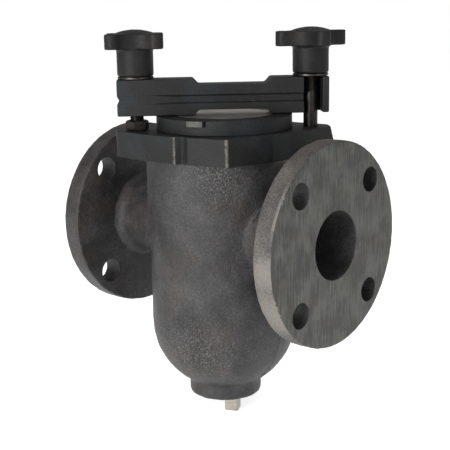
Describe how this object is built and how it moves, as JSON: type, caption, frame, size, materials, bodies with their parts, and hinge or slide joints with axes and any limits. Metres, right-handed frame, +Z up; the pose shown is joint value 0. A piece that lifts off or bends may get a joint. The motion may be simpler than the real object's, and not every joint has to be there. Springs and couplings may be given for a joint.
{
  "type": "basket strainer",
  "caption": "Flanged in-line basket strainer: cast pot between two pipe flanges, round cover clamped by a swing yoke with lobed knobs, basket inside, drain plug below.",
  "frame": {"origin": "where the pipe centre line crosses the vertical axis of the cover and basket", "axes": "+X along the pipe toward the outlet flange, +Z up through the cover, yoke at 45 degrees between +X and +Y"},
  "size_m": [0.2126, 0.1526, 0.3075],
  "materials": {
    "painted_cast_iron": "thin black varnish over sand-cast iron",
    "cover_iron": "black rim, machined top",
    "gasket_sheet": "matte",
    "blackened_steel": "oil blackened",
    "bare_steel": "bare, turned",
    "stainless_steel": "perforated and rolled sheet"
  },
  "bodies": {
    "casing": {"body": "painted_cast_iron", "cover": "cover_iron", "cover_gasket": "gasket_sheet", "pivot_stud": "blackened_steel", "slot_stud": "blackened_steel", "pivot_lock_nut": "blackened_steel", "basket_rim": "stainless_steel", "basket_screen": "stainless_steel", "basket_bottom": "stainless_steel", "basket_bail": "stainless_steel", "bail_eye_1": "stainless_steel", "bail_eye_2": "stainless_steel"},
    "yoke_arm": {"yoke": "painted_cast_iron"},
    "pivot_washer_stage": {"pivot_washer": "bare_steel"},
    "pivot_knob_turn": {"pivot_knob": "painted_cast_iron"},
    "slot_washer_stage": {"slot_washer": "bare_steel"},
    "slot_knob_turn": {"slot_knob": "painted_cast_iron"},
    "plug": {"drain_plug": "bare_steel"}
  },
  "joints": [
    {"name": "yoke_swing", "type": "hinge", "parent": "casing", "child": "yoke_arm", "pos_m": [-0.04752, -0.04752, 0.103], "axis": [0, 0, 1], "range_deg": [0, 120]},
    {"name": "pivot_knob_lift", "type": "slide", "parent": "casing", "child": "pivot_washer_stage", "axis": [0, 0, 1], "range_m": [0, 0.01905]},
    {"name": "pivot_knob_spin", "type": "hinge", "parent": "pivot_washer_stage", "child": "pivot_knob_turn", "pos_m": [-0.04752, -0.04752, 0.13], "axis": [0, 0, 1], "range_deg": [0, 4320]},
    {"name": "slot_knob_lift", "type": "slide", "parent": "casing", "child": "slot_washer_stage", "axis": [0, 0, 1], "range_m": [0, 0.01905]},
    {"name": "slot_knob_spin", "type": "hinge", "parent": "slot_washer_stage", "child": "slot_knob_turn", "pos_m": [0.04752, 0.04752, 0.13], "axis": [0, 0, 1], "range_deg": [0, 4320]},
    {"name": "drain_plug_out", "type": "slide", "parent": "casing", "child": "plug", "axis": [0, 0, -1], "range_m": [0, 0.022]}
  ],
  "couplings": [
    {"joint": "pivot_knob_lift", "follows": "pivot_knob_spin", "m_per_rad": 0.00025265},
    {"joint": "slot_knob_lift", "follows": "slot_knob_spin", "m_per_rad": 0.00025265}
  ]
}
